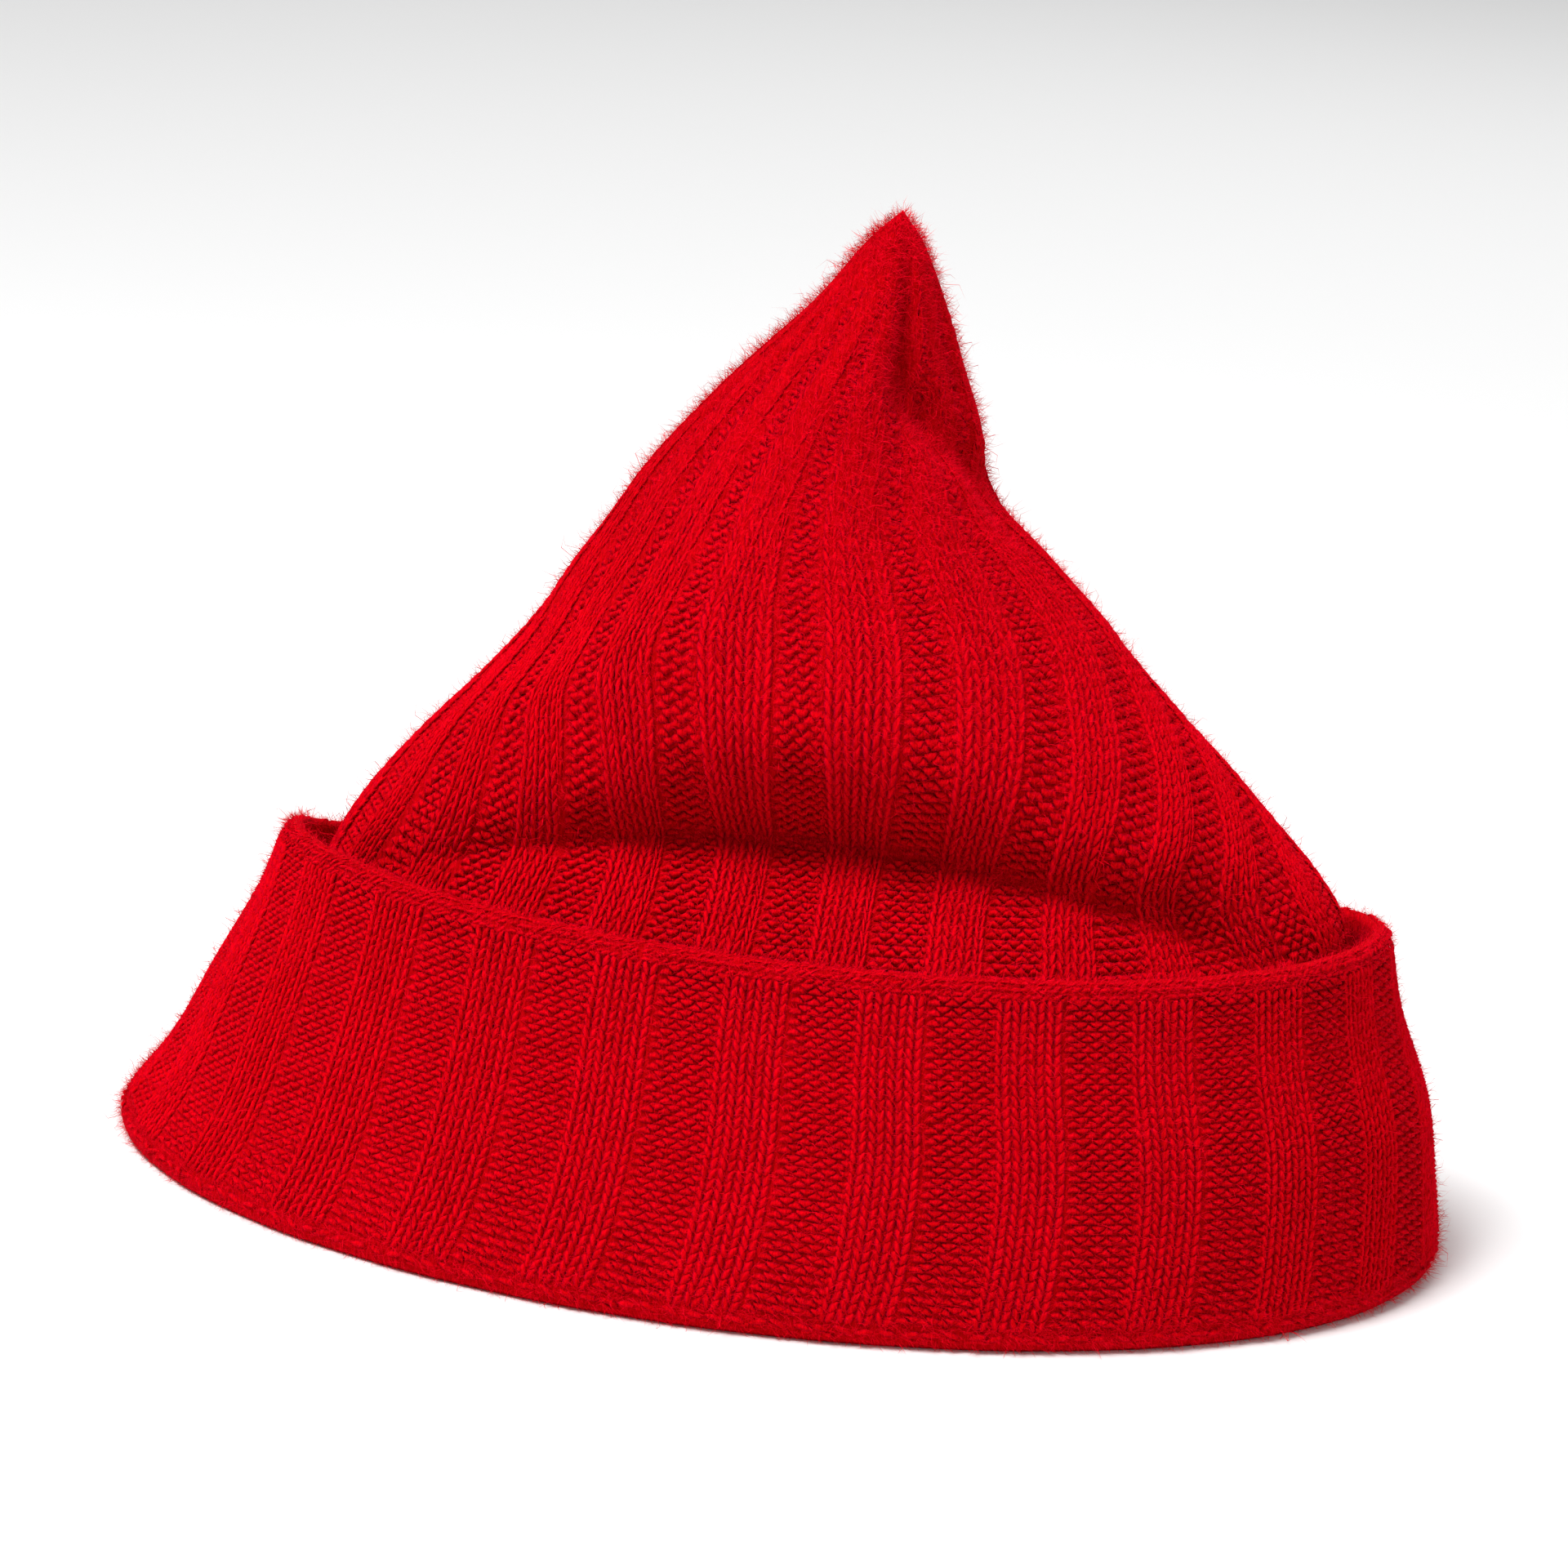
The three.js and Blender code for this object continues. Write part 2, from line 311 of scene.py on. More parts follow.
def cuff_face(share, z):
    """Points of the cuff's outer face, without its ribs."""
    share, z = np.broadcast_arrays(np.asarray(share, float), np.asarray(z, float))
    section = section_at(cuff_rows, z)
    angle = oval_angle(section, leaning_share(share, z))
    x, y = oval_point(section, angle)
    drop = sum(
        amount * np.exp(-aside(middle, half, angle) ** 2)
        for middle, half, amount in zip(*cuff_drops.values())
    )
    height = z * (1 - drop * smoothstep(z, 0, cuff_height))
    return np.stack([section["shift_x"] + x, section["shift_y"] + y, height], -1)


def crown_face(share, z):
    """Points of the crown's outer face, with its folds but without its ribs."""
    share, z = np.broadcast_arrays(np.asarray(share, float), np.asarray(z, float))
    section = section_at(crown_rows, z)
    turn = 2 * np.pi * share - np.radians(rib_spread["turn"])
    shift = rib_spread["first"] * np.sin(turn) + rib_spread["second"] * np.sin(2 * turn)
    shift = shift + np.radians(rib_spread["twist"])
    angle = oval_angle(section, share) + shift * smoothstep(z, rib_spread["start"], rib_spread["end"])
    x, y = oval_point(section, angle)
    for middle, height, lean, arch, half, below, above, sharpness, depth in zip(*folds.values()):
        middle = middle + lean * (z - height)
        height = height - arch * aside(middle, half, angle) ** 2
        away = np.abs(z - height) / np.where(z < height, below, above)
        dent = depth * np.exp(-aside(middle, half, angle) ** 2 - away**sharpness)
        x = x - dent * np.cos(np.radians(middle))
        y = y - dent * np.sin(np.radians(middle))
    return np.stack([section["shift_x"] + x, section["shift_y"] + y, z], -1)


def unit(vectors):
    return vectors / np.maximum(np.linalg.norm(vectors, axis=-1, keepdims=True), 1e-12)


def face_frame(face, share, z):
    """The ways along the ring, up the wall and out of the wall at points of a face."""
    along = unit(face(share + 1e-3, z) - face(share - 1e-3, z))
    up = unit(face(share, z + 0.2) - face(share, z - 0.2))
    return along, up, unit(np.cross(along, up))


rim_steps = np.diff(cuff_face(np.linspace(0, 1, 400), 3.0), axis=0)
print("rim, mm round:", round(float(np.linalg.norm(rim_steps, axis=1).sum())))

# %% [markdown]
# Cashmere yarn is matt, deep red, and never one colour: each stitch takes the dye a little differently, and
# loose fibres catch the light as a soft bloom at grazing angles. The colour also carries painted shade: the
# yarn is painted darker where it dives into the cloth and between the stitches, and lighter on its top. A
# picture could carry this, but noise and two attributes of the stitches do it at any distance: tone, random
# dye with painted light added, and top, the painted shade. The bloom is the shader's own sheen, and a little
# light passes through the yarn below its surface. Fine stretched noise, turned three ways, stands for the
# fibres that lie on the yarn, as colour and as bump.

# %% Finishes of the yarn
bloom_tint = (0.9, 0.0, 0.08, 1.0)
fibre_stretch = (2800.0, 550.0, 550.0)
fibre_turns = [(0.2, 0.4, 0.5), (0.9, -0.7, 1.7), (-0.5, 1.2, 2.9)]


def cashmere(name, deep, lit, bloom, fibre_bump, light_through):
    """Red cashmere whose colour goes from deep, painted shade where the yarn dives into the cloth, to lit,
    painted light on top of the yarn.
    """
    material, tree = new_material(name)
    place = tree.node("ShaderNodeTexCoord")["Object"]
    tone = tree.node("ShaderNodeAttribute", {"attribute_name": "tone"})["Fac"]
    top = tree.node("ShaderNodeAttribute", {"attribute_name": "top"})["Fac"]
    patches = tree.node("ShaderNodeTexNoise", sockets={"Vector": place, "Scale": 45.0, "Detail": 3.0})
    fibres = None
    for turn in fibre_turns:
        stretched = tree.node(
            "ShaderNodeMapping", sockets={"Vector": place, "Rotation": turn, "Scale": fibre_stretch})
        streaks = tree.node("ShaderNodeTexNoise", sockets={"Vector": stretched, "Scale": 1.0, "Detail": 1.0})
        fibres = streaks if fibres is None else tree.math("MAXIMUM", fibres, streaks)
    # Painted light and shade: top darkens the yarn where it dives into the cloth, tone adds each stitch's
    # painted light to its random dye, and patches and fibres vary it at random.
    lightness = 0.3 + 0.4 * top + 0.1 * tone + 0.4 * (patches - 0.5) + 3.0 * (fibres - 0.6)
    colour = tree.between(deep, lit, lightness)
    bump = tree.node(
        "ShaderNodeBump",
        sockets={"Strength": fibre_bump, "Distance": 0.5 * MM, "Height": fibres},
    )
    shader = tree.node("ShaderNodeBsdfPrincipled", sockets={
        "Base Color": colour,
        "Roughness": 0.82 + 0.2 * (patches - 0.3),
        "Specular IOR Level": 0.015,
        "Subsurface Weight": light_through,
        "Subsurface Radius": (1.0, 0.1, 0.1),
        "Subsurface Scale": 0.8 * MM,
        "Sheen Weight": bloom,
        "Sheen Roughness": 0.45,
        "Sheen Tint": bloom_tint,
        "Normal": bump,
    })
    tree.node("ShaderNodeOutputMaterial", sockets={"Surface": shader})
    return material


# The ground is a darker copy of the yarn: painted shade in the gaps between the stitches.
yarn_finish = cashmere("cashmere_yarn", (0.42, 0.0, 0.001, 1), (0.76, 0.0, 0.006, 1), 0.2, 1.0, 0.4)
shaded_ground_finish = cashmere("cashmere_ground_painted_shade", (0.38, 0.0, 0.001, 1), (0.66, 0.0, 0.005, 1), 0.1, 1.0, 0.4)
# The fibres are a lighter copy of the yarn: painted light for the glow of thin fibres.
lit_fuzz_finish = cashmere("cashmere_fuzz_painted_light", (0.60, 0.0, 0.006, 1), (0.90, 0.002, 0.02, 1), 0.2, 0.0, 0.0)
print("finishes:", yarn_finish.name, shaded_ground_finish.name, lit_fuzz_finish.name)

# %% [markdown]
# Under the stitches lies the ground of the cloth: a closed wall, raised under the knit ribs and sunk under
# the purl ribs, that stops light from passing between the stitches and shows its inner side in the hollow.
# It is lofted from rings of points, row by row, because that follows the tables exactly. Its attributes say
# how thickly fibres stand on it, and its painted shade: dark outside, between the stitches, lighter inside
# and where the knit felts. Towards the tip the stitches felt into the ground.

# %% Ground of the crown
rib_columns = (0.03, 0.17, 0.33, 0.47, 0.53, 0.67, 0.83, 0.97)
knit_middle, rib_slope = 0.25, 0.05
crown_relief, cuff_relief = 0.7, 0.25
ground_depth, purl_depth = 0.25, 0.12
rib_fade = (142, 160)
under_cuff = 40


def column_shares(phase):
    """Shares of the way round of all the columns of a ribbed wall."""
    pairs = np.arange(rib_pairs)[:, None] + np.array(rib_columns)
    return (pairs.ravel() - knit_middle + phase) / rib_pairs


def knit_part(z):
    """The share of a rib pair that is knit: more of it up the crown, where purl wales are lost first."""
    return 0.5 + 0.1 * smoothstep(z, 60, 100)


def felting(z):
    """How far the knit has felted together: not at all low on the crown, wholly at the tip."""
    return smoothstep(z, 80, 150)


def rib_raise(share, phase, knit=0.5):
    """1 on a knit rib, -1 on a purl rib, with a short slope between."""
    away = np.abs((rib_pairs * share - phase + 0.5) % 1 - 0.5)
    return np.clip((0.5 * knit - away) / rib_slope, -1, 1)


def rib_lift(raised, relief):
    """How far the ground is lifted under a rib. It sinks deeper under purl, which shows dark gaps."""
    return 0.5 * relief * raised - purl_depth * relief * (1 - raised)


def loft(name, rings, first_pole=None, last_pole=None):
    """A mesh over rings of points in millimetres, closed by poles, or by itself where there are none."""
    rings = np.asarray(rings)
    count, columns = rings.shape[:2]
    points = [tuple(p) for p in rings.reshape(-1, 3) * MM]
    joins = list(zip(range(count - 1), range(1, count)))
    if first_pole is None:
        joins.append((count - 1, 0))
    faces = []
    for low, high in joins:
        for here in range(columns):
            there = (here + 1) % columns
            below, above = low * columns, high * columns
            faces.append((below + here, below + there, above + there, above + here))
    for pole, row, order in ((first_pole, 0, -1), (last_pole, count - 1, 1)):
        if pole is None:
            continue
        points.append(tuple(np.asarray(pole) * MM))
        for here in range(columns):
            edge = (row * columns + here, row * columns + (here + 1) % columns)
            faces.append((*edge[::order], len(points) - 1))
    mesh = bpy.data.meshes.new(name)
    mesh.from_pydata(points, [], faces)
    mesh.shade_smooth()
    return mesh


def set_values(mesh, name, values):
    attribute = mesh.attributes.new(name, "FLOAT", "POINT")
    attribute.data.foreach_set("value", np.asarray(values, np.float32).ravel())


def fuzziness(z):
    """How thickly fibres stand on the crown: hidden under the cuff, thicker where felted and at the tip."""
    return (z > under_cuff) * (1 + 1.5 * felting(z) + 5 * smoothstep(z, 154, 164))


def crown_ring(z, depth):
    share = column_shares(crown_phase)
    along, up, out = face_frame(crown_face, share, z)
    if z <= crown_foot:
        out = unit(out * (1, 1, 0))
    fade = 1 - smoothstep(z, *rib_fade)
    lift = rib_lift(rib_raise(share, crown_phase, knit_part(z)), crown_relief * fade) - depth
    return crown_face(share, z) + out * lift[:, None]


inner_heights = [
    151, 142, 132, 122, 112, 102, 92, 84, 78, 73, 70, 67, 64, 61, 58, 54, 46, 35, 24, 12, crown_foot,
]
outer_heights = [
    crown_foot, 12, 22, 32, *np.arange(38, 52, 2.0), *np.arange(52, 70, 0.9), *np.arange(70, 100, 1.5),
    *np.arange(100, 150, 1.25), *np.arange(150, 160, 2.0), 161, 163, 164.6, 165.8,
]
inner_rings = [crown_ring(z, knit_thickness) for z in inner_heights]
outer_rings = [crown_ring(z, ground_depth * (1 - felting(z))) for z in outer_heights]
tip = crown_face(0.0, tip_height)
inner_tip = (tip[0], tip[1], inner_tip_height)
crown_mesh = loft("crown_knit", inner_rings + outer_rings, first_pole=inner_tip, last_pole=tip)
columns = len(column_shares(crown_phase))
# Painted shade of the ground, as top: dark outside between the stitches, lighter where the knit felts, lighter
# still inside.
inner_painted_shade, ground_painted_shade, felt_painted_shade = 0.55, 0.2, 0.3
crown_fuzz = [0.0] * len(inner_heights) + [fuzziness(z) for z in outer_heights]
set_values(crown_mesh, "fuzz", [*np.repeat(crown_fuzz, columns), 0.0, fuzziness(tip_height)])
set_values(crown_mesh, "tone", np.zeros(len(crown_mesh.vertices)))
outer_painted_shade = ground_painted_shade + (felt_painted_shade - ground_painted_shade) * felting(np.array(outer_heights))
crown_painted_shade = [inner_painted_shade] * len(inner_heights) + list(outer_painted_shade)
set_values(crown_mesh, "top", [*np.repeat(crown_painted_shade, columns), inner_painted_shade, felt_painted_shade])
crown_mesh.materials.append(shaded_ground_finish)
crown_knit = add_object("crown_knit", crown_mesh)
print("crown ground:", len(crown_mesh.polygons), "faces")

# %% Ground of the cuff
cuff_loop = table(  # down the inside, round the turn, up the outside and over the hem
    "inset z rib fuzz",
    (2.6, 52, 1, 0), (2.6, 40, 1, 0), (2.6, 28, 1, 0), (2.6, 16, 1, 0), (2.6, 5, 1, 0),
    (3.6, turn_height, 0.6, 0), (7.2, turn_height, 0.2, 0), (8.0, 1.4, 0.2, 0), (6.6, 0.05, 0.2, 0),
    (2.4, 0.05, 0.2, 0), (1.0, 1.0, 0.5, 1.5), (0.4, 2.6, 0.8, 4.0),
    (0.25, 5, 1, 2), (0.25, 10, 1, 1), (0.25, 16, 1, 1), (0.25, 22, 1, 1), (0.25, 28, 1, 1), (0.25, 34, 1, 1),
    (0.25, 40, 1, 1), (0.25, 46, 1, 1), (0.3, 51, 1, 1), (0.5, 53, 1, 1), (0.25, 54.2, 0.8, 1.3),
    (0.3, 55.4, 0.7, 3.0), (0.9, 56.4, 0.6, 3.0), (2.0, 56.6, 0.6, 2.0), (2.9, 55.4, 0.7, 0.5),
)


def cuff_ring(inset, z, rib):
    share = column_shares(cuff_phase)
    along, up, out = face_frame(cuff_face, share, z)
    out = unit(out * (1, 1, 0))
    lift = rib_lift(rib_raise(share, cuff_phase), cuff_relief * rib) - inset
    return cuff_face(share, z) + out * lift[:, None]


cuff_lines = list(zip(cuff_loop["inset"], cuff_loop["z"], cuff_loop["rib"]))
cuff_mesh = loft("cuff_knit", [cuff_ring(*line) for line in cuff_lines])
set_values(cuff_mesh, "fuzz", np.repeat(cuff_loop["fuzz"], columns))
set_values(cuff_mesh, "tone", np.zeros(len(cuff_mesh.vertices)))
set_values(cuff_mesh, "top", np.full(len(cuff_mesh.vertices), ground_painted_shade))
cuff_mesh.materials.append(shaded_ground_finish)
cuff_knit = add_object("cuff_knit", cuff_mesh)
print("cuff ground:", len(cuff_mesh.polygons), "faces")

# %% [markdown]
# A knit stitch shows as a V of two legs, and a purl stitch as two low arcs, the head of one loop and the foot
# of the next, set half a row apart. Each is a plump arc of yarn with few faces, because it is repeated
# thousands of times: two poles and three three-sided rings. One unit is a wale across, a row up and a yarn
# thick. The ends and the sides of an arc dip under the ground, so that no gap shows beside it.

# %% Shapes of the stitches
side_sink, end_sink = 0.25, 0.7


def yarn_arc(path, across, half_widths, height):
    """Points, faces and painted shade of one arc of yarn along five points, with its sides along across."""
    path = np.array(path, float)
    across = np.array(across, float)
    # Painted shade, carried as top: the ridge of the arc is lit, its sides darker, and its ends, where it
    # dives into the cloth, darkest.
    points, painted_yarn_shade = [path[0]], [0.0]
    rise, sink = np.array((0, 0, height)), np.array((0, 0, side_sink))
    for middle, half in zip(path[1:4], half_widths):
        points += [middle - across * half - sink, middle + rise, middle + across * half - sink]
        painted_yarn_shade += [0.2, 1.0, 0.2]
    points.append(path[4])
    painted_yarn_shade.append(0.0)
    faces = []
    for side in range(3):
        there = (side + 1) % 3
        faces.append((0, 1 + there, 1 + side))
        for ring in (1, 4):
            faces.append((ring + side, ring + there, ring + there + 3, ring + side + 3))
        faces.append((7 + side, 7 + there, 10))
    return points, faces, painted_yarn_shade


def stitch_object(name, arcs):
    points, faces, painted_yarn_shade = [], [], []
    for arc_points, arc_faces, arc_painted_shade in arcs:
        faces += [tuple(i + len(points) for i in face) for face in arc_faces]
        points += arc_points
        painted_yarn_shade += arc_painted_shade
    mesh = bpy.data.meshes.new(name)
    mesh.from_pydata([tuple(p) for p in points], [], faces)
    set_values(mesh, "top", painted_yarn_shade)
    return bpy.data.objects.new(name, mesh)


def knit_leg(side):
    path = [
        (0.09 * side, -0.85, -end_sink), (0.17 * side, -0.42, 0.05), (0.24 * side, 0.05, 0.2),
        (0.32 * side, 0.48, 0.05), (0.38 * side, 0.88, -end_sink),
    ]
    return yarn_arc(path, (1, 0, 0), (0.17, 0.225, 0.18), 0.46)


def purl_arc(x, y, bend):
    path = [
        (x - 0.54, y - bend, -end_sink), (x - 0.29, y - 0.1 * bend, 0.02), (x, y + 0.3 * bend, 0.22),
        (x + 0.29, y - 0.1 * bend, 0.02), (x + 0.54, y - bend, -end_sink),
    ]
    return yarn_arc(path, (0, -1, 0), (0.27, 0.33, 0.27), 0.42)


knit_stitch = stitch_object("knit_stitch", [knit_leg(-1), knit_leg(1)])
purl_stitch = stitch_object("purl_stitch", [purl_arc(0.0, 0.0, 0.3), purl_arc(0.5, 0.5, -0.3)])
ridge_stitch = stitch_object("ridge_stitch", [purl_arc(0.0, 0.0, 0.12)])
for stitch in (knit_stitch, purl_stitch, ridge_stitch):
    print(stitch.name, "faces:", len(stitch.data.polygons))

# %% [markdown]
# Thousands of stitches are set on the cloth by Geometry Nodes. The host is a cloud of points, one for each
# stitch, that carries the way out of the cloth, the way up the wale and the stitch's size. The tree turns a
# stitch to those ways, jitters it a little from a fixed seed, and ends in one plain mesh.

# %% Geometry tree that sets stitches
def new_geometry_tree(name, inputs):
    nodes = bpy.data.node_groups.new(name, "GeometryNodeTree")
    nodes.interface.new_socket("Geometry", in_out="INPUT", socket_type="NodeSocketGeometry")
    for label, kind in inputs:
        nodes.interface.new_socket(label, in_out="INPUT", socket_type=kind)
    nodes.interface.new_socket("Geometry", in_out="OUTPUT", socket_type="NodeSocketGeometry")
    tree = Tree(nodes)
    return tree, tree.node("NodeGroupInput")


def close_tree(tree, shape, finish):
    """Real geometry, smooth and in its finish, as the tree's result."""
    real = tree.node("GeometryNodeRealizeInstances", sockets={"Geometry": shape})
    smooth = tree.node("GeometryNodeSetShadeSmooth", sockets={"Geometry": real})
    done = tree.node("GeometryNodeSetMaterial", sockets={"Geometry": smooth, "Material": finish})
    tree.node("NodeGroupOutput", sockets={"Geometry": done})


def named(tree, name, kind="FLOAT_VECTOR"):
    return tree.node("GeometryNodeInputNamedAttribute", {"data_type": kind}, {"Name": name})


stitch_tree, given = new_geometry_tree("set_stitches", [
    ("Stitch", "NodeSocketObject"), ("Finish", "NodeSocketMaterial"),
    ("Jitter", "NodeSocketFloat"), ("Seed", "NodeSocketInt"),
])
shape = stitch_tree.node("GeometryNodeObjectInfo", sockets={"Object": given["Stitch"]})["Geometry"]
upright = stitch_tree.node(
    "FunctionNodeAlignRotationToVector", {"axis": "Z"}, {"Vector": named(stitch_tree, "outward")})
turned = stitch_tree.node(
    "FunctionNodeAlignRotationToVector", {"axis": "Y", "pivot_axis": "Z"},
    {"Rotation": upright, "Vector": named(stitch_tree, "up_wale")})
swing = stitch_tree.node(
    "FunctionNodeRandomValue", {"data_type": "FLOAT_VECTOR"},
    {"Min": (-1, -1, -1), "Max": (1, 1, 1), "Seed": given["Seed"]})
swing = stitch_tree.node(
    "ShaderNodeVectorMath", {"operation": "SCALE"}, {"Vector": swing, "Scale": given["Jitter"]})
loose = stitch_tree.node(
    "FunctionNodeRotateRotation", {"rotation_space": "LOCAL"}, {"Rotation": turned, "Rotate By": swing})
laid = stitch_tree.node("GeometryNodeInstanceOnPoints", sockets={
    "Points": given["Geometry"], "Instance": shape, "Rotation": loose, "Scale": named(stitch_tree, "size"),
})
close_tree(stitch_tree, laid, given["Finish"])


def run_tree(host, tree, values):
    """Runs a geometry tree on a host and leaves the host with the plain mesh that comes out."""
    modifier = host.modifiers.new("nodes", "NODES")
    modifier.node_group = tree.nodes
    for item in tree.nodes.interface.items_tree:
        if item.in_out == "INPUT" and item.name in values:
            modifier[item.identifier] = values[item.name]
    evaluated = host.evaluated_get(bpy.context.evaluated_depsgraph_get())
    mesh = bpy.data.meshes.new_from_object(evaluated)
    host.modifiers.remove(modifier)
    host.data = mesh
    for spare in ("outward", "up_wale", "size"):
        if spare in mesh.attributes:
            mesh.attributes.remove(mesh.attributes[spare])
    triangles = sum(len(face.vertices) - 2 for face in mesh.polygons)
    print(host.name, "triangles:", triangles)
    return host


def set_stitches(name, stitch, points, outward, up, size, light, seed, jitter=0.06):
    """A piece of stitches: one at each point in millimetres, with its ways, its size and its painted light."""
    mesh = bpy.data.meshes.new(name)
    mesh.from_pydata([tuple(p) for p in points * MM], [], [])
    for label, vectors in (("outward", outward), ("up_wale", up), ("size", size * MM)):
        attribute = mesh.attributes.new(label, "FLOAT_VECTOR", "POINT")
        attribute.data.foreach_set("vector", np.asarray(vectors, np.float32).ravel())
    # tone: the stitch's painted light and shade, plus a random difference in dye.
    set_values(mesh, "tone", light + np.random.default_rng(seed).uniform(-1, 1, len(points)))
    host = add_object(name, mesh)
    values = {"Stitch": stitch, "Finish": yarn_finish, "Jitter": jitter, "Seed": seed}
    return run_tree(host, stitch_tree, values)


print("tree set_stitches has", len(stitch_tree.nodes.nodes), "nodes")

# %% [markdown]
# On the cuff the rib runs straight up from the turn to the hem, four knit wales and four purl wales by turns.
# Knit wales stand up and purl wales sink, each rib a little rounded, as the tension of the yarn pulls it.

# %% Stitches of the cuff
yarn_thickness = {"knit": 0.7, "purl": 0.95}
cuff_courses = 31
cuff_span = (4.0, 53.8)
# Painted light: a painted highlight on the knit wales at the edges of a rib, and painted shade on the purl
# wales.
painted_edge_highlight, painted_purl_shade = 1.2, -0.3
stitch_sink = 0.1
rib_wales = 4
half_wale = 0.5 / (2 * rib_wales * rib_pairs)


def rounded(kind, place):
    """How far wales stand up on a knit rib, or sink in a purl rib, at places across it. Ribs are rounded."""
    return (1 - 0.5 * (2 * place - 1) ** 2) * (1 if kind == "knit" else -1)


def painted_stitch_light(kind, place):
    """Painted light of stitches: a painted highlight on knit wales at the edges of a rib, and painted shade on
    purl wales.
    """
    if kind == "knit":
        return painted_edge_highlight * (np.abs(2 * place - 1) > 0.7)
    return np.full_like(place, painted_purl_shade)


def cuff_stitches(kind):
    """Points, ways, sizes and painted light of the stitches of all the knit or all the purl ribs of the cuff.
    """
    start = 0.0 if kind == "knit" else 0.5
    places = (np.arange(rib_wales) + 0.5) / rib_wales
    courses = (np.arange(cuff_courses) + 0.5) / cuff_courses
    every = np.meshgrid(np.arange(rib_pairs), places, courses, indexing="ij")
    pair, place, course = (values.ravel() for values in every)
    share = (pair + (start + 0.5 * place) - knit_middle + cuff_phase) / rib_pairs
    z = cuff_span[0] + (cuff_span[1] - cuff_span[0]) * course
    along, up, out = face_frame(cuff_face, share, z)
    wale = np.linalg.norm(cuff_face(share + half_wale, z) - cuff_face(share - half_wale, z), axis=1)
    half_row = 0.5 * (cuff_span[1] - cuff_span[0]) / cuff_courses
    row = np.linalg.norm(cuff_face(share, z + half_row) - cuff_face(share, z - half_row), axis=1)
    lift = 0.5 * cuff_relief * rounded(kind, place)
    points = cuff_face(share, z) + out * (lift - stitch_sink)[:, None]
    size = np.stack([wale, row, np.full_like(wale, yarn_thickness[kind])], -1)
    return points, out, up, size, painted_stitch_light(kind, place)


cuff_knit_stitches = set_stitches("cuff_knit_stitches", knit_stitch, *cuff_stitches("knit"), seed=11)
cuff_purl_stitches = set_stitches("cuff_purl_stitches", purl_stitch, *cuff_stitches("purl"), seed=12)

# %% [markdown]
# Up the crown the tube narrows, so wales are lost: a rib goes from four wales to one. The width of each rib
# is measured at each course, and the last wale of the rib is let go as it gets too narrow. Courses are evenly
# spaced along the cloth, not by height, so they stay even over the folds. Stitches flatten as they felt.

# %% Courses of the crown
crown_courses = 62
crown_start, crown_end = 38.0, 154.0
wale_width, least_wale = 2.5, 0.4
stitch_fade = (138, 160)
crown_yarn, felted_loss = 0.8, 0.8

grid_columns = 192
grid_shares = np.arange(grid_columns) / grid_columns
grid_heights = np.linspace(crown_start, crown_end, 500)
grid = crown_face(grid_shares[:, None], grid_heights[None, :])
lengths = np.cumsum(np.linalg.norm(np.diff(grid, axis=1), axis=2), axis=1)
lengths = np.concatenate([np.zeros((len(grid_shares), 1)), lengths], axis=1)


def course_height(share, part):
    """Heights of the points of a course that is a part of the way up the cloth, at each share."""
    heights = [np.interp(part * row[-1], row, grid_heights) for row in lengths]
    return np.interp(share, grid_shares, heights, period=1)


print("cloth from cuff to tip, mm:", round(lengths[:, -1].min()), "to", round(lengths[:, -1].max()))

# %% Stitches of the crown
def on_course(share, part):
    return crown_face(share, course_height(share, part))


def crown_stitches(kind):
    """Points, ways, sizes and painted light of the stitches of all the knit or all the purl ribs of the crown.
    """
    rows = []
    front = np.array([rib_spread["turn"] / 360])
    half = 0.5 / crown_courses
    for course in range(crown_courses):
        part = (course + 0.5) / crown_courses
        knit = float(knit_part(course_height(front, part))[0])
        span = knit if kind == "knit" else 1 - knit
        middle = np.arange(rib_pairs) + (0.0 if kind == "knit" else 0.5) + crown_phase
        first = (middle - 0.5 * span) / rib_pairs
        rib = span / rib_pairs
        width = np.linalg.norm(on_course(first + rib, part) - on_course(first, part), axis=1)
        kept = np.clip(width / wale_width, 1, rib_wales)
        for wale in range(rib_wales):
            weight = np.clip(kept - wale, 0, 1)
            some = weight > least_wale
            place = ((wale + 0.5 * weight) / kept)[some]
            share = first[some] + rib * place
            here = on_course(share, part)
            along = on_course(share + 1e-3, part) - on_course(share - 1e-3, part)
            up = on_course(share, part + half) - on_course(share, part - half)
            out = unit(np.cross(along, up))
            z = here[:, 2]
            lift = 0.5 * crown_relief * (1 - smoothstep(z, *stitch_fade)) * rounded(kind, place)
            points = here + out * (lift - stitch_sink)[:, None]
            across = (width * weight / kept)[some]
            thick = crown_yarn * yarn_thickness[kind] * (1 - felted_loss * felting(z))
            size = np.stack([across, np.linalg.norm(up, axis=1), thick], -1)
            rows.append((points, out, unit(up), size, painted_stitch_light(kind, place)))
    return [np.concatenate(column) for column in zip(*rows)]


crown_knit_stitches = set_stitches("crown_knit_stitches", knit_stitch, *crown_stitches("knit"), seed=21)
crown_purl_stitches = set_stitches("crown_purl_stitches", purl_stitch, *crown_stitches("purl"), seed=22)

# %% [markdown]
# The free hem of the cuff rolls over in slanting stitches, and the turn at the foot shows rows of longer
# ones, where the cloth bends back on itself. All are rings of single arcs, tilted out of the wall as the
# cloth rolls.

# %% Hem and turn of the cuff
edge_rib = 0.6
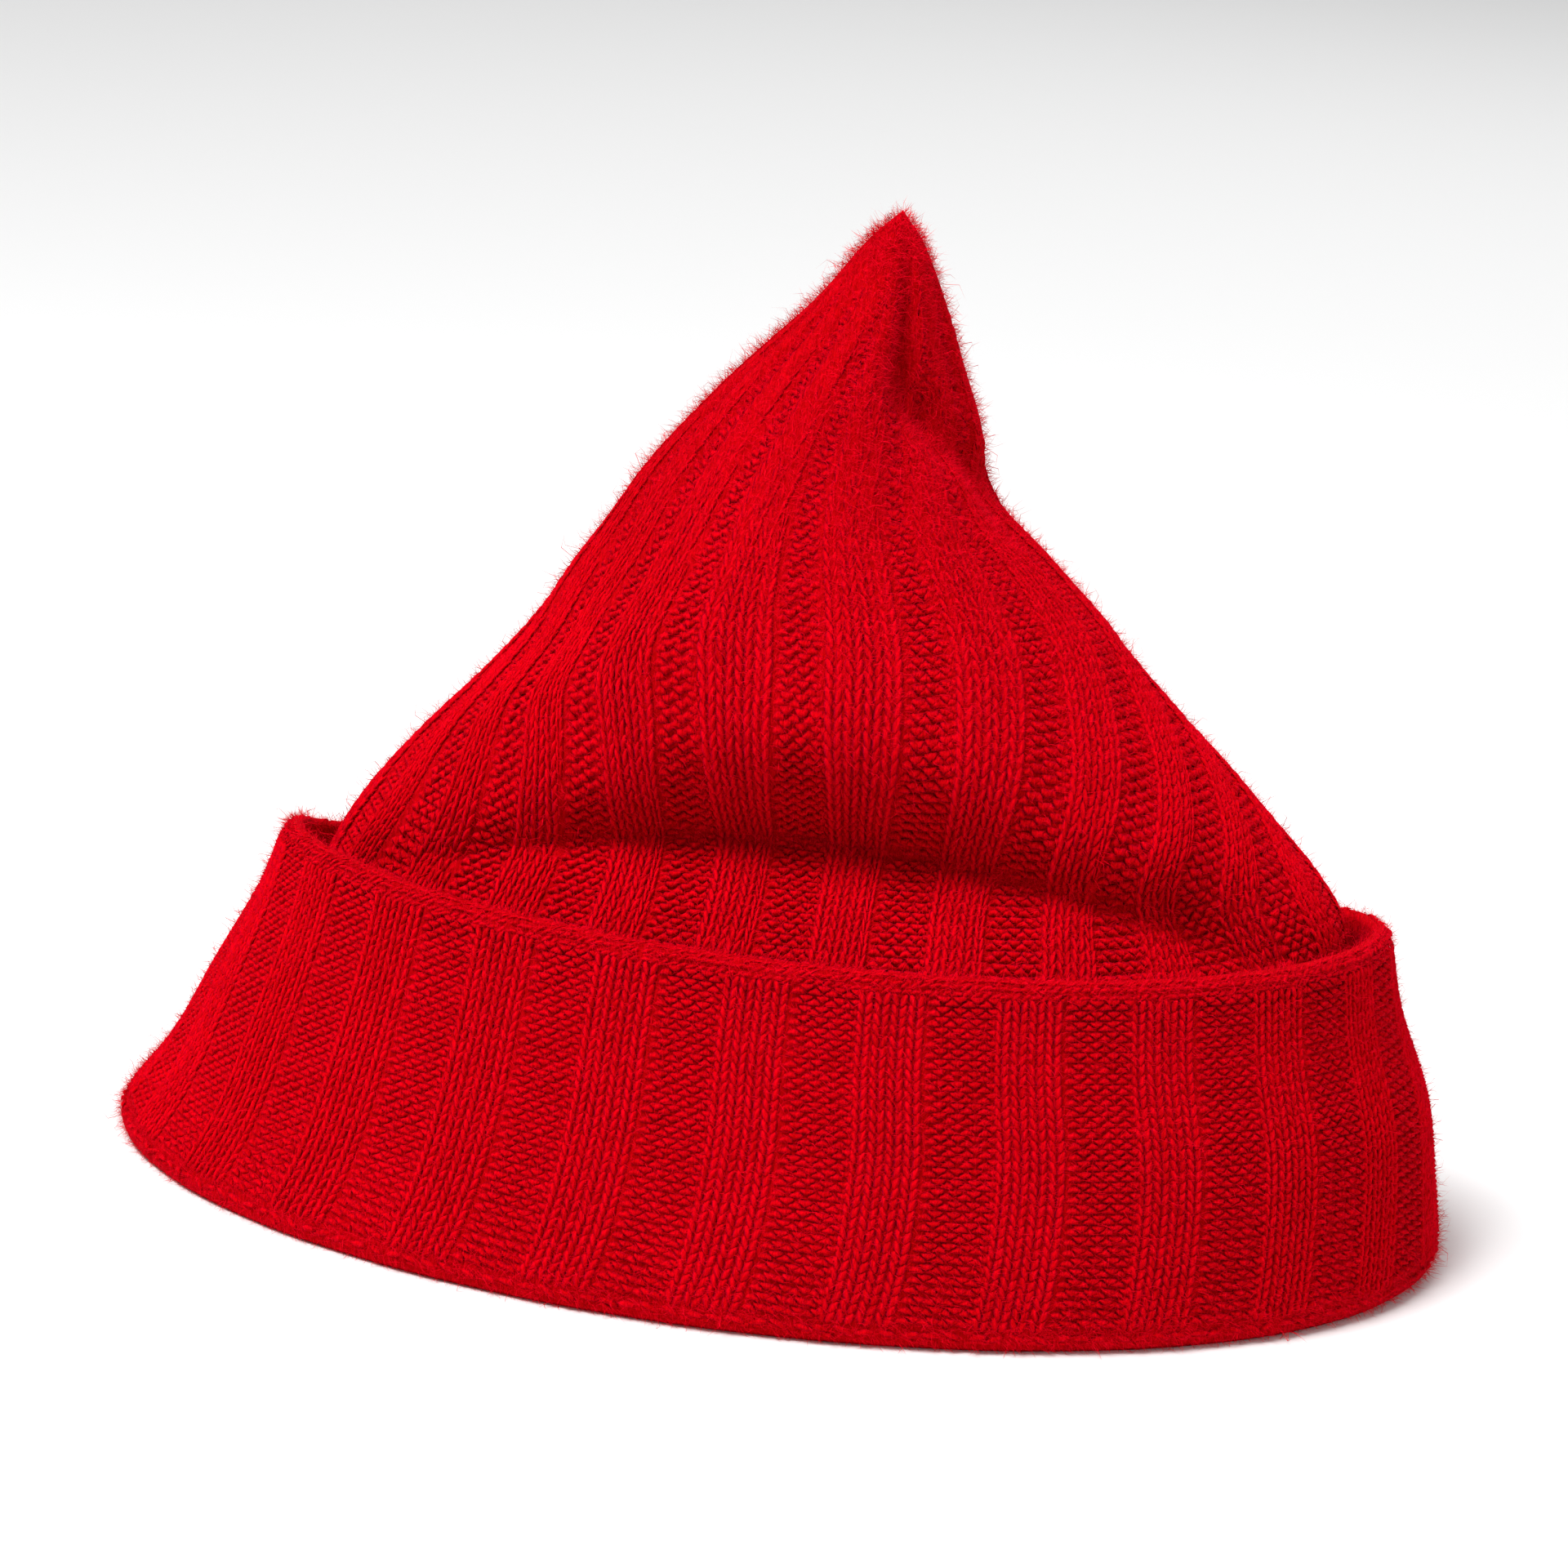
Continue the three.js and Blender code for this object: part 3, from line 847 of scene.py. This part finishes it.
# The last column is painted light: the hem rows get a painted highlight on the rolled edge.
edge_rows = table(  # three rows for the hem, then two for the turn
    "count inset z tilt slant long tall thick light",
    (330, 0.2, 54.4, 8, 24, 2.6, 1.2, 0.4, 1.2),
    (330, 0.3, 55.6, 35, 22, 2.6, 1.2, 0.4, 1.2),
    (330, 1.1, 56.3, 75, 20, 2.6, 1.2, 0.4, 1.2),
    (170, 0.35, 2.7, -5, 6, 3.9, 1.7, 0.8, 0),
    (180, 0.95, 1.9, -40, 6, 3.7, 1.5, 0.6, 0),
)


def edge_stitches(count, inset, z, tilt, slant, long, tall, thick, light):
    share = np.arange(int(count)) / int(count)
    along, up, out = face_frame(cuff_face, share, np.full(len(share), z))
    tilt, slant = np.radians(tilt), np.radians(slant)
    level = unit(out * (1, 1, 0))
    rib = 0.5 * cuff_relief * edge_rib * rib_raise(share, cuff_phase)
    points = cuff_face(share, z) + level * (rib - inset)[:, None]
    outward = np.cos(tilt) * out + np.sin(tilt) * up
    wale = np.cos(tilt) * up - np.sin(tilt) * out
    slanted = np.cos(slant) * wale - np.sin(slant) * along
    size = np.tile((long, tall, thick), (len(share), 1))
    return points, outward, slanted, size, np.full(len(share), light)


edges = [edge_stitches(*row) for row in zip(*edge_rows.values())]
edge_points = [np.concatenate(column) for column in zip(*edges)]
cuff_edges = set_stitches("cuff_edges", ridge_stitch, *edge_points, seed=31, jitter=0.4)

# %% [markdown]
# Brushed cashmere wears a nap of fibres that lie on the cloth, a halo of fibres that stand off it and soften
# its outline, and a few long loose hairs. Hair particles would be lost in the export, so the fibres are thin
# bent strips, strewn over the ground by Geometry Nodes. They lean every way, and are denser at the tip, the
# hem and the turn, where the cloth is rubbed. Fibres that would go under the floor rest on it instead.

# %% Halo of fibres
floor_gap = 0.1


def fibre_object(name, path, half_width):
    """A thin strip along three points, pointed at its end. One unit is the fibre's length."""
    points = [(x, y + side * half_width, z) for x, y, z in path[:2] for side in (-1, 1)]
    mesh = bpy.data.meshes.new(name)
    mesh.from_pydata([*points, path[2]], [], [(0, 1, 3, 2), (2, 3, 4)])
    return bpy.data.objects.new(name, mesh)


standing_fibre = fibre_object("standing_fibre", [(0, 0, 0), (0.14, 0.03, 0.5), (0.5, 0.04, 0.88)], 0.011)
lying_fibre = fibre_object("lying_fibre", [(0, 0, 0.06), (0.4, 0.05, 0.36), (0.93, -0.05, 0.4)], 0.014)
long_hair = fibre_object("long_hair", [(0, 0, 0), (0.35, 0.1, 0.45), (0.75, -0.25, 0.5)], 0.008)
fuzz_tree, given = new_geometry_tree("strew_fibres", [
    ("Fibre", "NodeSocketObject"), ("Finish", "NodeSocketMaterial"),
    ("Fibres per square metre", "NodeSocketFloat"), ("Shortest", "NodeSocketFloat"),
    ("Longest", "NodeSocketFloat"), ("Lean", "NodeSocketFloat"), ("Seed", "NodeSocketInt"),
])
shape = fuzz_tree.node("GeometryNodeObjectInfo", sockets={"Object": given["Fibre"]})["Geometry"]
density = named(fuzz_tree, "fuzz", "FLOAT") * given["Fibres per square metre"]
strewn = fuzz_tree.node(
    "GeometryNodeDistributePointsOnFaces",
    sockets={"Mesh": given["Geometry"], "Density": density, "Seed": given["Seed"]})
lean = fuzz_tree.node(
    "FunctionNodeRandomValue", {"data_type": "FLOAT_VECTOR"},
    {"Min": (-1, -1, -3.2), "Max": (1, 1, 3.2), "Seed": given["Seed"]})
lean = fuzz_tree.node(
    "ShaderNodeVectorMath", {"operation": "SCALE"}, {"Vector": lean, "Scale": given["Lean"]})
turned = fuzz_tree.node(
    "FunctionNodeRotateRotation", {"rotation_space": "LOCAL"},
    {"Rotation": strewn["Rotation"], "Rotate By": lean})
length = fuzz_tree.node(
    "FunctionNodeRandomValue", {"data_type": "FLOAT"},
    {"Min": given["Shortest"], "Max": given["Longest"], "Seed": given["Seed"]})
laid = fuzz_tree.node("GeometryNodeInstanceOnPoints", sockets={
    "Points": strewn, "Instance": shape, "Rotation": turned, "Scale": length,
})
real = fuzz_tree.node("GeometryNodeRealizeInstances", sockets={"Geometry": laid})
over_floor = fuzz_tree.node(
    "ShaderNodeVectorMath", {"operation": "MAXIMUM"},
    {0: fuzz_tree.node("GeometryNodeInputPosition"), 1: (-floor_half, -floor_half, floor_gap * MM)})
resting = fuzz_tree.node("GeometryNodeSetPosition", sockets={"Geometry": real, "Position": over_floor})
close_tree(fuzz_tree, resting, given["Finish"])


def strew_fibres(name, ground, fibre, density, shortest, longest, lean, seed):
    host = add_object(name, ground.copy())
    return run_tree(host, fuzz_tree, {
        "Fibre": fibre, "Finish": lit_fuzz_finish, "Fibres per square metre": density,
        "Shortest": shortest * MM, "Longest": longest * MM, "Lean": lean, "Seed": seed,
    })


halo = {"fibre": standing_fibre, "density": 500000.0, "shortest": 1.4, "longest": 3.4, "lean": 0.95}
nap = {"fibre": lying_fibre, "density": 1000000.0, "shortest": 1.4, "longest": 2.6, "lean": 0.35}
hairs = {"fibre": long_hair, "density": 45000.0, "shortest": 3.0, "longest": 5.5, "lean": 1.0}
cuff_halo = strew_fibres("cuff_halo", cuff_mesh, **halo, seed=41)
crown_halo = strew_fibres("crown_halo", crown_mesh, **halo, seed=42)
cuff_nap = strew_fibres("cuff_nap", cuff_mesh, **nap, seed=43)
crown_nap = strew_fibres("crown_nap", crown_mesh, **nap, seed=44)
cuff_hairs = strew_fibres("cuff_hairs", cuff_mesh, **hairs, seed=45)
crown_hairs = strew_fibres("crown_hairs", crown_mesh, **hairs, seed=46)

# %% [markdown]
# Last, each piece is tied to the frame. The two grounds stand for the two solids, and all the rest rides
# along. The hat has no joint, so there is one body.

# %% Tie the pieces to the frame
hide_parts("crown")
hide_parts("cuff")
pieces = [
    crown_knit, cuff_knit, cuff_knit_stitches, cuff_purl_stitches, crown_knit_stitches, crown_purl_stitches,
    cuff_edges, cuff_halo, crown_halo, cuff_nap, crown_nap, cuff_hairs, crown_hairs,
]
for piece in pieces:
    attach(piece, "root")
